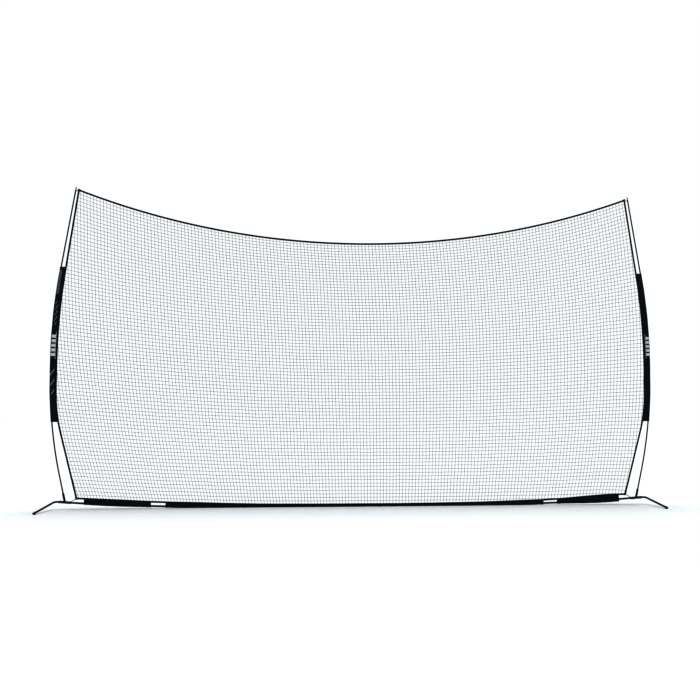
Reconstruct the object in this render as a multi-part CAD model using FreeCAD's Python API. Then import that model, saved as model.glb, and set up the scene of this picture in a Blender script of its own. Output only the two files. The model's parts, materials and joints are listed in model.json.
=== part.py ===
import FreeCAD, Part
import math
import os

os.makedirs("parts", exist_ok=True)

Vector = FreeCAD.Vector
X_AXIS = Vector(1, 0, 0)
Y_AXIS = Vector(0, 1, 0)

# A wide free-standing barrier net. Millimetres, +Z up, X along the net, -Y towards the legs.
# The origin is on the floor under the middle of the object's box.

# Base tube: flat in the middle, both ends drawn up by the bent poles
BASE_Z = 11.0
BEND_1_X = 1700.0
BEND_2_X = 2450.0
BEND_2_Z = 33.5
KNEE_X = 2979.0              # where each leg bends forward
KNEE_Z = 71.6
BEND_TANGENT = 200.0
TUBE_R = 9.5
TUBE_BORE_R = 8.3
SPIGOT_R = 8.25
SPIGOT_BORE_R = 7.0
SPIGOT_LENGTH = 60.0
SWAGE_LENGTH = 8.0
SECTION_LENGTH = 989.5       # base tube section between joints
JOINT_COUNT = 5
HALVINGS = 60                # steps in the search for a place on a route

# Legs
LEG_FRONT_REACH = 460.0      # leg end in front of the base axis
LEG_SPLAY = 54.0             # leg end outboard of its bend
LEG_END_Z = 10.9
LEG_BEND_R = 40.0
LEG_SWING = 90.0
TIP_RADIUS = 11.0
TIP_LENGTH = 34.0
TIP_WALL = 5.0
TIP_LIP = 4.0
TIP_LIP_DRAW = 1.0
TIP_FIT = 0.05
FLOOR_BLOCK = 140.0          # cuts the tip's worn flat

# The net's plane lies so that the middle of the whole object's depth is at y = 0
SLEEVE_FOOT = 24.0           # half width of the middle base sleeve on the floor
LEG_FORWARD = LEG_FRONT_REACH / math.hypot(LEG_FRONT_REACH, LEG_SPLAY, KNEE_Z - LEG_END_Z)
TIP_REACH = LEG_FRONT_REACH + TIP_WALL * LEG_FORWARD + TIP_RADIUS * math.sqrt(1 - LEG_FORWARD ** 2)
NET_Y = (TIP_REACH - SLEEVE_FOOT) / 2.0

# Hubs, with the sockets that hold the poles
HUB_R = 12.5
HUB_BORE_R = 9.55
HUB_INNER_X = 2824.0
HUB_OUTER_X = 2943.0
SOCKET_X = 2884.0
SOCKET_R = 10.5
SOCKET_BORE_R = 6.35
SOCKET_TOP = 92.0            # along the pole from the base axis
POLE_SEAT = 15.0
WELD_R = 13.5
WELD_LENGTH = 20.0
END_TUBE_STOP_X = 2866.0
LEG_STUB_X = 2876.0

# Snap buttons on leaf springs
BUTTON_R = 3.0
BUTTON_HOLE_R = 3.1
BUTTON_DOME = 1.2
BASE_BUTTON_TOP = 12.5       # from the tube axis
HUB_BUTTON_TOP = 15.5
BASE_LEAF_R = 5.0
HUB_LEAF_R = 6.0
LEAF_WIDTH = 5.6
LEAF_LENGTH = 26.0
LEAF_THICKNESS = 0.6
LEAF_HEEL = 20.0             # from the pin back to the spring's bend
BASE_SPRING_FAR = 6.3        # the resting arm's outer face, behind the axis
HUB_SPRING_FAR = 7.7
HUB_BUTTON_X = 2853.0
LEG_BUTTON_X = 2921.0
HOLE_MARGIN = 2.0
SLOT_ROOT = 1.0              # how far inside the hub's bore the slot's cut starts

# Poles
POLE_R = 6.25
POLE_BORE_R = 3.0
POLE_KNEE_X = 3046.0         # furthest reach of the pole axis
POLE_KNEE_LOW_Z = 801.0
POLE_KNEE_HIGH_Z = 1914.0
POLE_TIP_X = 2834.0
POLE_TIP_Z = 3207.0
POLE_TANGENT_LOW = 478.0
POLE_TANGENT_HIGH = 474.0
POLE_SECTIONS = 3
POLE_NAMES = ("lower", "middle", "upper")
FERRULE_R = 7.4
FERRULE_LENGTH = 84.0
CORD_R = 1.6
CORD_KNOT_R = 2.4
CORD_INSET = 12.0
CAP_R = 7.2
CAP_DEPTH = 24.0
CAP_DOME = 6.0

# Net and its bindings, in the plane of the poles
NET_THICKNESS = 2.0
BINDING_WIDTH = 16.0
BINDING_THICKNESS = 4.0
CORNER_LOW = (2774.0, 102.0)
CORNER_HIGH = (2808.0, 3173.0)
EDGE_KNEE_X = 2993.0
EDGE_KNEE_LOW_Z = 954.0
EDGE_KNEE_HIGH_Z = 1883.0
EDGE_TANGENT_LOW = 222.0
EDGE_TANGENT_HIGH = 474.0
TOP_MIDDLE_Z = 2675.0
BOTTOM_MIDDLE_Z = 29.5
BOTTOM_FLAT_X = 450.0
MESH_ACROSS = 24
MESH_UP = 12
MESH_BAR = 12.0
MESH_MARGIN = 22.0           # from the middle of the binding to the first gaps

# Corner eyelets and the cords through them
EYELET_R = 6.4
EYELET_BARREL_R = 4.4
EYELET_HOLE_R = 3.6
EYELET_FLANGE = 0.8
LOOP_R = 1.4
LOOP_BEND_R = 4.6
LOOP_POLE_R = 8.1
TIE_R = 2.0
TIE_BEND_R = 5.6
TIE_HUB_R = 17.5
TIE_HUB_X = 2836.0
TIE_OVERSHOOT = 8.0

# Side sleeves
SLEEVE_LOW_Z = 855.0
SLEEVE_HIGH_Z = 2402.0
CHANNEL_R = 9.4
CHANNEL_BORE_R = 7.7
SLEEVE_PLATE = 4.4

# Base sleeves: where the middle one ends, and the outer ones begin and end
MIDDLE_SLEEVE_X = 1908.0
SIDE_SLEEVE_X = 2052.0
SIDE_SLEEVE_END_X = 2700.0
SLEEVE_BORE_R = 9.8
SLEEVE_SHOULDER = 13.5
SLEEVE_SEAM = 1.6
SLEEVE_UNDER = 11.4          # underside below the tube axis
SLEEVE_SAG_UNDER = 13.0
SLEEVE_END_UNDER = 19.0
SLEEVE_OVERLAP = 3.0         # cloth drawn up past the binding's lower edge before it is trimmed
CHEEK_SHARE = 0.7            # cheek width as a share of the foot's
CHEEK_BULGE = 1.2
BULGE_DROP = 0.8
RAISED_FOOT = 7.0
TAPER_FOOT = 14.0
BUTTON_POCKET_R = 5.0
BUTTON_POCKET_SPACE = 0.8
TRIM_MARGIN = 2.0


def point(x, z, y=NET_Y):
    return Vector(x, y, z)


def make_route(points, tangents):
    """Straight runs joined by tangent arcs. tangents holds each inner point's tangent length."""
    segments = []
    start = points[0]
    for index in range(1, len(points) - 1):
        corner = points[index]
        along_in = (corner - points[index - 1]).normalize()
        along_out = (points[index + 1] - corner).normalize()
        tangent = tangents[index - 1]
        turn = along_in.getAngle(along_out)
        radius = tangent / math.tan(turn / 2)
        arc_start = corner - along_in * tangent
        axis = along_in.cross(along_out).normalize()
        centre = arc_start + axis.cross(along_in) * radius
        segments.append(("line", start, along_in, (arc_start - start).Length))
        segments.append(arc_segment(centre, axis, arc_start, turn))
        start = corner + along_out * tangent
    along = (points[-1] - start).normalize()
    segments.append(("line", start, along, (points[-1] - start).Length))
    return segments


def arc_segment(centre, axis, start, turn):
    """An arc from a start point, turned about an axis through its centre."""
    radius = (start - centre).Length
    along = axis.cross(start - centre).normalize()
    return ("arc", start, along, radius * turn, centre, axis, radius)


def arc_route(start, middle, end):
    """A route of one arc, under a half circle, through three points."""
    centre = Part.Arc(start, middle, end).toShape().Curve.Center
    axis = (start - centre).cross(end - centre).normalize()
    return [arc_segment(centre, axis, start, (start - centre).getAngle(end - centre))]


def line_route(start, end):
    return [("line", start, (end - start).normalize(), (end - start).Length)]


def route_length(route):
    return sum(segment[3] for segment in route)


def on_segment(segment, distance):
    """The place and the direction at a distance along one segment."""
    if segment[0] == "line":
        return segment[1] + segment[2] * distance, segment[2]
    centre, axis, radius = segment[4:7]
    turn = FreeCAD.Rotation(axis, math.degrees(distance / radius))
    place = centre + turn.multVec(segment[1] - centre)
    return place, turn.multVec(segment[2])


def locate(route, distance):
    """The place and the direction at a distance along a route."""
    for segment in route:
        if distance <= segment[3] or segment is route[-1]:
            return on_segment(segment, distance)
        distance -= segment[3]


def trim(route, start, end):
    """The stretch of a route between two distances."""
    stretch = []
    passed = 0.0
    for segment in route:
        low = max(start - passed, 0.0)
        high = min(end - passed, segment[3])
        if high > low:
            place, along = on_segment(segment, low)
            stretch.append((segment[0], place, along, high - low) + segment[4:])
        passed += segment[3]
    return stretch


def distance_at(route, component, value):
    """The distance along a route at which a rising coordinate reaches a value."""
    low = 0.0
    high = route_length(route)
    for _ in range(HALVINGS):
        middle = (low + high) / 2
        if getattr(locate(route, middle)[0], component) < value:
            low = middle
        else:
            high = middle
    return low


def ring_face(place, along, outer_r, inner_r=0.0):
    """A disc, or a ring, square to a direction."""
    outline = Part.Wire(Part.Circle(place, along, outer_r).toShape())
    face = Part.Face(outline)
    if inner_r > 0.0:
        face = face.cut(Part.Face(Part.Wire(Part.Circle(place, along, inner_r).toShape())))
    return face


def strip_face(place, along, width, thickness):
    """A rectangle square to a direction, thin across the net."""
    side = along.cross(Y_AXIS).normalize() * (width / 2)
    depth = Y_AXIS * (thickness / 2)
    corners = [place - side - depth, place + side - depth, place + side + depth, place - side + depth]
    return Part.Face(Part.makePolygon(corners + [corners[0]]))


def sweep(route, section):
    """Carries a section along a route: a prism on each run and a turned piece on each arc."""
    pieces = []
    for segment in route:
        face = section(segment[1], segment[2])
        if segment[0] == "line":
            swept = face.extrude(segment[2] * segment[3])
        else:
            centre, axis, radius = segment[4:7]
            swept = face.revolve(centre, axis, math.degrees(segment[3] / radius))
        pieces += swept.Solids
    if len(pieces) == 1:
        return pieces[0]
    return pieces[0].fuse(pieces[1:]).removeSplitter()


def pipe(route, outer_r, inner_r=0.0):
    return sweep(route, lambda place, along: ring_face(place, along, outer_r, inner_r))


def strip(route, width, thickness):
    return sweep(route, lambda place, along: strip_face(place, along, width, thickness))


def route_edges(route, offset=0.0):
    """The route's own edges, moved sideways in the plane of the net."""
    edges = []
    for segment in route:
        ends = []
        for share in (0.0, 0.5, 1.0):
            place, along = on_segment(segment, segment[3] * share)
            ends.append(place + along.cross(Y_AXIS).normalize() * offset)
        if segment[0] == "line":
            edges.append(Part.LineSegment(ends[0], ends[2]).toShape())
        else:
            edges.append(Part.Arc(ends[0], ends[1], ends[2]).toShape())
    return edges


def plate(edges, thickness):
    """A flat plate in the plane of the net, inside a closed outline."""
    face = Part.Face(Part.Wire(Part.sortEdges(edges)[0]))
    face.translate(Y_AXIS * (-thickness / 2))
    return face.extrude(Y_AXIS * thickness)


def rod(place, along, radius, length):
    return Part.makeCylinder(radius, length, place, along)


def mirrored(shape):
    return shape.mirror(Vector(0, 0, 0), X_AXIS)


def clean(shape):
    """One tidy solid out of a boolean's result."""
    shape = shape.removeSplitter()
    if len(shape.Solids) == 1:
        return shape.Solids[0]
    return shape


nodes = {}


def keep(name, shape):
    nodes[name] = shape


def keep_pair(name, shape):
    """The right-hand piece and its mirror image on the left."""
    keep(name + "_right", shape)
    keep(name + "_left", mirrored(shape))


# Routes
base_route = make_route(
    [point(-KNEE_X, KNEE_Z), point(-BEND_2_X, BEND_2_Z), point(-BEND_1_X, BASE_Z),
     point(BEND_1_X, BASE_Z), point(BEND_2_X, BEND_2_Z), point(KNEE_X, KNEE_Z)],
    [BEND_TANGENT] * 4)


def base_at(x):
    """Distance along the base, place and direction at a given x."""
    distance = distance_at(base_route, "x", x)
    place, along = locate(base_route, distance)
    return distance, place, along


HUB_AXIS = base_at(SOCKET_X)[2]
socket_origin = base_at(SOCKET_X)[1]

pole_route = make_route(
    [socket_origin, point(POLE_KNEE_X, POLE_KNEE_LOW_Z), point(POLE_KNEE_X, POLE_KNEE_HIGH_Z),
     point(POLE_TIP_X, POLE_TIP_Z)],
    [POLE_TANGENT_LOW, POLE_TANGENT_HIGH])
POLE_LENGTH = route_length(pole_route)

side_route = make_route(
    [point(*CORNER_LOW), point(EDGE_KNEE_X, EDGE_KNEE_LOW_Z), point(EDGE_KNEE_X, EDGE_KNEE_HIGH_Z),
     point(*CORNER_HIGH)],
    [EDGE_TANGENT_LOW, EDGE_TANGENT_HIGH])

top_route = arc_route(point(-CORNER_HIGH[0], CORNER_HIGH[1]), point(0, TOP_MIDDLE_Z),
                      point(*CORNER_HIGH))


def bottom_edge_z(x):
    """Height of the bottom binding: level in the middle, then an arc up to the corner."""
    rise = CORNER_LOW[1] - BOTTOM_MIDDLE_Z
    run = CORNER_LOW[0] - BOTTOM_FLAT_X
    radius = (run ** 2 + rise ** 2) / (2 * rise)
    beyond = max(abs(x) - BOTTOM_FLAT_X, 0.0)
    return BOTTOM_MIDDLE_Z + radius - math.sqrt(radius ** 2 - beyond ** 2)


def bottom_arc(sign):
    """The arc of the bottom edge on one side, from left to right."""
    stations = [BOTTOM_FLAT_X, (BOTTOM_FLAT_X + CORNER_LOW[0]) / 2, CORNER_LOW[0]]
    places = [point(sign * x, bottom_edge_z(x)) for x in stations]
    if sign < 0:
        places.reverse()
    return arc_route(*places)


bottom_route = (bottom_arc(-1)
                + line_route(point(-BOTTOM_FLAT_X, BOTTOM_MIDDLE_Z), point(BOTTOM_FLAT_X, BOTTOM_MIDDLE_Z))
                + bottom_arc(1))


def extended(route, length):
    """A route with a short straight run added at each end."""
    start, along_start = locate(route, 0.0)
    end, along_end = locate(route, route_length(route))
    return (line_route(start - along_start * length, start) + route
            + line_route(end, end + along_end * length))


# Base tubes
def tube_with_spigot(start, end):
    """A tube from one distance to another, with a swaged spigot beyond its end."""
    body = pipe(trim(base_route, start, end - SWAGE_LENGTH), TUBE_R, TUBE_BORE_R)
    swage = pipe(trim(base_route, end - SWAGE_LENGTH, end), TUBE_R, SPIGOT_BORE_R)
    spigot = pipe(trim(base_route, end, end + SPIGOT_LENGTH), SPIGOT_R, SPIGOT_BORE_R)
    return clean(body.fuse([swage, spigot]))


def button_hole(place, direction=-Y_AXIS):
    """A hole from a tube's axis out through one wall, the front one unless told otherwise."""
    return rod(place, direction, BUTTON_HOLE_R, HUB_R + HOLE_MARGIN)


joint_x = [(index - (JOINT_COUNT - 1) / 2) * SECTION_LENGTH for index in range(JOINT_COUNT)]
joint_s = [base_at(x)[0] for x in joint_x]
button_s = [s + SPIGOT_LENGTH / 2 for s in joint_s]
end_s = [base_at(-END_TUBE_STOP_X)[0], base_at(END_TUBE_STOP_X)[0]]
hub_button_places = {side: base_at(sign * HUB_BUTTON_X)[1] for side, sign in (("left", -1), ("right", 1))}

tube_names = ["base_tube_end_left", "base_tube_outer_left", "base_tube_inner_left",
              "base_tube_inner_right", "base_tube_outer_right", "base_tube_end_right"]
tube_starts = [end_s[0]] + joint_s
for index, name in enumerate(tube_names):
    if index < JOINT_COUNT:
        tube = tube_with_spigot(tube_starts[index], joint_s[index])
        tube = tube.cut(button_hole(locate(base_route, button_s[index])[0]))
    else:
        tube = pipe(trim(base_route, tube_starts[index], end_s[1]), TUBE_R, TUBE_BORE_R)
    if index > 0:
        tube = tube.cut(button_hole(locate(base_route, button_s[index - 1])[0]))
    for side in ("left", "right"):
        if name == "base_tube_end_" + side:
            tube = tube.cut(button_hole(hub_button_places[side]))
    keep(name, clean(tube))


# Snap buttons: a domed pin on the moving arm of a leaf, and the resting arm with its hairpin bend
def leaf(place, along, inner, outer):
    """A flat spring arm between two distances in front of a tube's axis."""
    across = along.cross(Y_AXIS).normalize() * (LEAF_WIDTH / 2)
    heel = place - Y_AXIS * inner - along * LEAF_HEEL
    toe = heel + along * LEAF_LENGTH
    corners = [heel - across, heel + across, toe + across, toe - across, heel - across]
    return Part.Face(Part.makePolygon(corners)).extrude(Y_AXIS * (inner - outer))


def snap_button(place, along, leaf_r, top_r):
    shoulder_r = top_r - BUTTON_DOME
    pin = rod(place - Y_AXIS * leaf_r, -Y_AXIS, BUTTON_R, shoulder_r - leaf_r)
    dome = Part.makeCone(BUTTON_R, BUTTON_R - BUTTON_DOME, BUTTON_DOME,
                         place - Y_AXIS * shoulder_r, -Y_AXIS)
    return clean(pin.fuse([dome, leaf(place, along, leaf_r - LEAF_THICKNESS, leaf_r)]))


def leaf_spring(place, along, leaf_r, far_r):
    """The arm that rests on the tube's far wall, and the bend that joins it to the button's arm."""
    resting_arm = leaf(place, along, -far_r, LEAF_THICKNESS - far_r)
    side = along.cross(Y_AXIS).normalize()
    across = side * (LEAF_WIDTH / 2)
    inner = place - Y_AXIS * (leaf_r - LEAF_THICKNESS) - along * LEAF_HEEL
    outer = inner - Y_AXIS * LEAF_THICKNESS
    end = Part.Face(Part.makePolygon([inner - across, inner + across, outer + across, outer - across,
                                      inner - across]))
    centre = place - Y_AXIS * ((leaf_r - far_r) / 2) - along * LEAF_HEEL
    return clean(resting_arm.fuse(end.revolve(centre, -side, 180).Solids))


for index, s in enumerate(button_s):
    place, along = locate(base_route, s)
    number = str(index + 1)
    keep("base_button_" + number, snap_button(place, along, BASE_LEAF_R, BASE_BUTTON_TOP))
    keep("base_button_spring_" + number, leaf_spring(place, along, BASE_LEAF_R, BASE_SPRING_FAR))

for name, x in (("hub_button", HUB_BUTTON_X), ("leg_button", LEG_BUTTON_X)):
    place = base_at(x)[1]
    keep_pair(name, snap_button(place, HUB_AXIS, HUB_LEAF_R, HUB_BUTTON_TOP))
    keep_pair(name + "_spring", leaf_spring(place, HUB_AXIS, HUB_LEAF_R, HUB_SPRING_FAR))


# Hubs: a sleeve on the base axis with the pole's socket welded on, and a quarter-turn slot for the leg
def swing_slot(place):
    """The way that the leg's button takes through the hub's wall from leg down to leg up."""
    along = HUB_AXIS * BUTTON_HOLE_R
    inner = place - Y_AXIS * (HUB_BORE_R - SLOT_ROOT)
    outer = place - Y_AXIS * (HUB_R + HOLE_MARGIN)
    outline = Part.makePolygon([inner - along, inner + along, outer + along, outer - along, inner - along])
    turned = Part.Face(outline).revolve(place, -HUB_AXIS, LEG_SWING)
    last = FreeCAD.Rotation(-HUB_AXIS, LEG_SWING).multVec(-Y_AXIS)
    return [button_hole(place), button_hole(place, last)] + turned.Solids


def hub():
    inner_s = base_at(HUB_INNER_X)[0]
    outer_s = base_at(HUB_OUTER_X)[0]
    foot, up_pole = locate(pole_route, 0.0)
    body = pipe(trim(base_route, inner_s, outer_s), HUB_R)
    socket = rod(foot, up_pole, SOCKET_R, SOCKET_TOP)
    weld = Part.makeCone(WELD_R, SOCKET_R, WELD_LENGTH, foot, up_pole)
    bore = pipe(trim(base_route, inner_s - TRIM_MARGIN, outer_s + TRIM_MARGIN), HUB_BORE_R)
    pole_bore = rod(foot + up_pole * POLE_SEAT, up_pole, SOCKET_BORE_R, SOCKET_TOP)
    shape = body.fuse([socket, weld]).cut([bore, pole_bore, button_hole(base_at(HUB_BUTTON_X)[1])])
    return clean(shape.cut(swing_slot(base_at(LEG_BUTTON_X)[1])))


keep_pair("hub", hub())


# Legs: a bent tube whose short arm turns in the hub, and its rubber tip
leg_start = base_at(LEG_STUB_X)[1]
leg_knee = point(KNEE_X, KNEE_Z)
leg_end = Vector(KNEE_X + LEG_SPLAY, NET_Y - LEG_FRONT_REACH, LEG_END_Z)
leg_turn = (leg_knee - leg_start).getAngle(leg_end - leg_knee)
leg_route = make_route([leg_start, leg_knee, leg_end], [LEG_BEND_R * math.tan(leg_turn / 2)])
leg_hole = button_hole(base_at(LEG_BUTTON_X)[1])
keep_pair("leg", clean(pipe(leg_route, TUBE_R, TUBE_BORE_R).cut(leg_hole)))


def leg_tip():
    """A rubber boot over the leg's end, worn flat where it stands on the floor."""
    along = (leg_end - leg_knee).normalize()
    depth = TIP_LENGTH - TIP_WALL
    mouth = leg_end - along * depth
    lip_start = mouth - along * TIP_LIP
    boot = rod(mouth, along, TIP_RADIUS, TIP_LENGTH)
    lip = Part.makeCone(TIP_RADIUS - TIP_LIP_DRAW, TIP_RADIUS, TIP_LIP, lip_start, along)
    bore = rod(lip_start, along, TUBE_R + TIP_FIT, depth + TIP_LIP)
    corner = Vector(leg_end.x - FLOOR_BLOCK / 2, leg_end.y - FLOOR_BLOCK / 2, -FLOOR_BLOCK)
    floor = Part.makeBox(FLOOR_BLOCK, FLOOR_BLOCK, FLOOR_BLOCK, corner)
    return clean(boot.fuse(lip).cut([bore, floor]))


keep_pair("leg_tip", leg_tip())

# Poles: hollow fibreglass sections, ferrules over their joints, a cord inside and a cap on the tip
section_length = (POLE_LENGTH - POLE_SEAT) / POLE_SECTIONS
for index in range(POLE_SECTIONS):
    low = POLE_SEAT + section_length * index
    keep_pair("pole_" + POLE_NAMES[index],
              pipe(trim(pole_route, low, low + section_length), POLE_R, POLE_BORE_R))
for index in range(1, POLE_SECTIONS):
    middle = POLE_SEAT + section_length * index
    ferrule = pipe(trim(pole_route, middle - FERRULE_LENGTH / 2, middle + FERRULE_LENGTH / 2),
                   FERRULE_R, POLE_R)
    keep_pair("pole_ferrule_" + POLE_NAMES[index], ferrule)

cord_low = POLE_SEAT + CORD_INSET
cord_high = POLE_LENGTH - CORD_INSET
cord = pipe(trim(pole_route, cord_low, cord_high), CORD_R)
knots = [Part.makeSphere(CORD_KNOT_R, locate(pole_route, s)[0]) for s in (cord_low, cord_high)]
keep_pair("pole_cord", clean(cord.fuse(knots)))

pole_end, pole_end_along = locate(pole_route, POLE_LENGTH)
cap_start = pole_end - pole_end_along * CAP_DEPTH
cap = rod(cap_start, pole_end_along, CAP_R, CAP_DEPTH + CAP_DOME / 2)
cap = cap.fuse(Part.makeCone(CAP_R, CAP_R - CAP_DOME / 2, CAP_DOME / 2,
                             pole_end + pole_end_along * (CAP_DOME / 2), pole_end_along))
cap = cap.cut(rod(cap_start, pole_end_along, POLE_R, CAP_DEPTH))
keep_pair("pole_cap", clean(cap))

# Net and bindings
net_outline = (route_edges(bottom_route) + route_edges(side_route) + route_edges(top_route)
               + [mirrored(edge) for edge in route_edges(side_route)])
net_plate = plate(net_outline, NET_THICKNESS)
eyelet_places = [point(sign * corner[0], corner[1]) for corner in (CORNER_LOW, CORNER_HIGH)
                 for sign in (-1, 1)]
eyelet_barrels = [rod(place - Y_AXIS * BINDING_THICKNESS, Y_AXIS, EYELET_BARREL_R, BINDING_THICKNESS * 2)
                  for place in eyelet_places]


def edge_point(route, share):
    return locate(route, route_length(route) * share)[0]


def net_point(across, up):
    """A place on the net, across and up from 0 to 1, carried in from its four edges."""
    top = edge_point(top_route, across)
    bottom = edge_point(bottom_route, across)
    right = edge_point(side_route, up)
    left = Vector(-right.x, right.y, right.z)
    between = left * (1 - across) + right * across + bottom * (1 - up) + top * up
    low_left = edge_point(bottom_route, 0.0)
    high_left = edge_point(top_route, 0.0)
    low_right = Vector(-low_left.x, low_left.y, low_left.z)
    high_right = Vector(-high_left.x, high_left.y, high_left.z)
    corners = (low_left * ((1 - across) * (1 - up)) + low_right * (across * (1 - up))
               + high_left * ((1 - across) * up) + high_right * (across * up))
    return between - corners


def mesh_line(index, count, length):
    """The share of a length at which a bar of the mesh runs, the margins kept clear."""
    margin = (MESH_MARGIN - MESH_BAR / 2) / length
    return margin + (1 - 2 * margin) * index / count


def gap(column, row):
    """One gap of the mesh, drawn in by half a bar from each line."""
    width = 2 * CORNER_HIGH[0]
    height = CORNER_HIGH[1] - CORNER_LOW[1]
    inset_x = MESH_BAR / 2 / width
    inset_z = MESH_BAR / 2 / height
    left = mesh_line(column, MESH_ACROSS, width) + inset_x
    right = mesh_line(column + 1, MESH_ACROSS, width) - inset_x
    low = mesh_line(row, MESH_UP, height) + inset_z
    high = mesh_line(row + 1, MESH_UP, height) - inset_z
    corners = [net_point(left, low), net_point(right, low), net_point(right, high), net_point(left, high)]
    return Part.Wire(Part.makePolygon(corners + [corners[0]]))


net_face = Part.Face(Part.Wire(Part.sortEdges(net_outline)[0]))
gap_faces = [Part.Face(gap(column, row)) for column in range(MESH_ACROSS) for row in range(MESH_UP)]
net_face = net_face.cut(gap_faces)
net_face.translate(Y_AXIS * (-NET_THICKNESS / 2))
net = net_face.extrude(Y_AXIS * NET_THICKNESS)
keep("net", clean(net.cut(eyelet_barrels)))

corner_reach = BINDING_WIDTH / 2
top_binding = strip(extended(top_route, corner_reach), BINDING_WIDTH, BINDING_THICKNESS)
bottom_binding = strip(extended(bottom_route, corner_reach), BINDING_WIDTH, BINDING_THICKNESS)
side_binding = strip(side_route, BINDING_WIDTH, BINDING_THICKNESS).cut([top_binding, bottom_binding])
largest = max(side_binding.Solids, key=lambda solid: solid.Volume)
keep("binding_top", clean(top_binding.cut([net_plate] + eyelet_barrels)))
keep("binding_bottom", clean(bottom_binding.cut([net_plate] + eyelet_barrels)))
keep_pair("binding", clean(largest.cut([net_plate] + eyelet_barrels)))


def eyelet(place):
    half = BINDING_THICKNESS / 2
    shape = rod(place - Y_AXIS * (half + EYELET_FLANGE), Y_AXIS, EYELET_BARREL_R,
                BINDING_THICKNESS + 2 * EYELET_FLANGE)
    for start in (-half - EYELET_FLANGE, half):
        shape = shape.fuse(rod(place + Y_AXIS * start, Y_AXIS, EYELET_R, EYELET_FLANGE))
    hole = rod(place - Y_AXIS * BINDING_THICKNESS, Y_AXIS, EYELET_HOLE_R, BINDING_THICKNESS * 2)
    return clean(shape.cut(hole))


keep("corner_eyelets", Part.makeCompound([eyelet(place) for place in eyelet_places]))


# Cord loops: through an eyelet and round what holds the corner
def belt(start, start_r, end, end_r, cord_r):
    """A closed loop of round cord round a small circle and a larger one, square to the net."""
    along = (end - start).normalize()
    side = Y_AXIS
    axis = side.cross(along)
    lean = math.asin((end_r - start_r) / (end - start).Length)
    outward = side * math.cos(lean) - along * math.sin(lean)
    inward = side * -math.cos(lean) - along * math.sin(lean)
    loop = (line_route(start + outward * start_r, end + outward * end_r)
            + [arc_segment(end, axis, end + outward * end_r, math.pi + 2 * lean)]
            + line_route(end + inward * end_r, start + inward * start_r)
            + [arc_segment(start, axis, start + inward * start_r, math.pi - 2 * lean)])
    return pipe(loop, cord_r)


high_corner = point(*CORNER_HIGH)
low_corner = point(*CORNER_LOW)
loop_pole = locate(pole_route, distance_at(pole_route, "z", CORNER_HIGH[1]))[0]
loop_along = (loop_pole - high_corner).normalize()
keep_pair("corner_loop", belt(high_corner + loop_along * LOOP_BEND_R, LOOP_BEND_R,
                              loop_pole, LOOP_POLE_R, LOOP_R))

tie_hub = base_at(TIE_HUB_X)[1]
tie_along = (tie_hub - low_corner).normalize()
keep_pair("corner_tie", belt(low_corner + tie_along * TIE_BEND_R, TIE_BEND_R,
                             tie_hub + tie_along * TIE_OVERSHOOT, TIE_HUB_R, TIE_R))


# Side sleeves: a channel round the pole and a flat web out to the binding
def side_sleeve():
    pole_part = trim(pole_route, distance_at(pole_route, "z", SLEEVE_LOW_Z),
                     distance_at(pole_route, "z", SLEEVE_HIGH_Z))
    edge_part = trim(side_route, distance_at(side_route, "z", SLEEVE_LOW_Z),
                     distance_at(side_route, "z", SLEEVE_HIGH_Z))
    inner_edges = route_edges(edge_part, -BINDING_WIDTH / 2)
    pole_edges = route_edges(pole_part)
    ends = []
    for index in (0, -1):
        inner = inner_edges[index].Vertexes[index].Point
        outer = pole_edges[index].Vertexes[index].Point
        ends.append(Part.LineSegment(inner, outer).toShape())
    web = plate(inner_edges + pole_edges + ends, SLEEVE_PLATE)
    channel = pipe(pole_part, CHANNEL_R)
    return clean(web.fuse(channel).cut(pipe(extended(pole_part, TRIM_MARGIN * 2), CHANNEL_BORE_R)))


keep_pair("side_sleeve", side_sleeve())


# Base sleeves: cloth tunnels that hang from the bottom binding round the base tube
def sleeve_section(x, foot, under):
    """The sleeve's outline at x: flat foot, rounded cheeks round the tube, seam at the binding."""
    axis_z = base_at(abs(x))[1].z
    low = max(axis_z - under, 0.0)
    top = bottom_edge_z(x) - BINDING_WIDTH / 2 + SLEEVE_OVERLAP
    cheek = max(SLEEVE_SHOULDER, foot * CHEEK_SHARE)
    middle = (foot + cheek) / 2 + CHEEK_BULGE
    middle_z = (low + axis_z) / 2 - BULGE_DROP

    def at(y, z):
        return Vector(x, NET_Y + y, z)

    edges = [Part.LineSegment(at(-foot, low), at(foot, low)),
             Part.Arc(at(foot, low), at(middle, middle_z), at(cheek, axis_z)),
             Part.LineSegment(at(cheek, axis_z), at(SLEEVE_SEAM, top)),
             Part.LineSegment(at(SLEEVE_SEAM, top), at(-SLEEVE_SEAM, top)),
             Part.LineSegment(at(-SLEEVE_SEAM, top), at(-cheek, axis_z)),
             Part.Arc(at(-cheek, axis_z), at(-middle, middle_z), at(-foot, low))]
    return Part.Wire([edge.toShape() for edge in edges])


def base_sleeve(stations):
    shape = Part.makeLoft([sleeve_section(*station) for station in stations], True, True)
    low_x, high_x = stations[0][0], stations[-1][0]
    bore = trim(base_route, base_at(low_x)[0] - TRIM_MARGIN, base_at(high_x)[0] + TRIM_MARGIN)
    pockets = [rod(locate(base_route, s)[0], -Y_AXIS, BUTTON_POCKET_R, BASE_BUTTON_TOP + BUTTON_POCKET_SPACE)
               for s in button_s if low_x < locate(base_route, s)[0].x < high_x]
    return clean(shape.cut([pipe(bore, SLEEVE_BORE_R), bottom_binding] + pockets))


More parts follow.
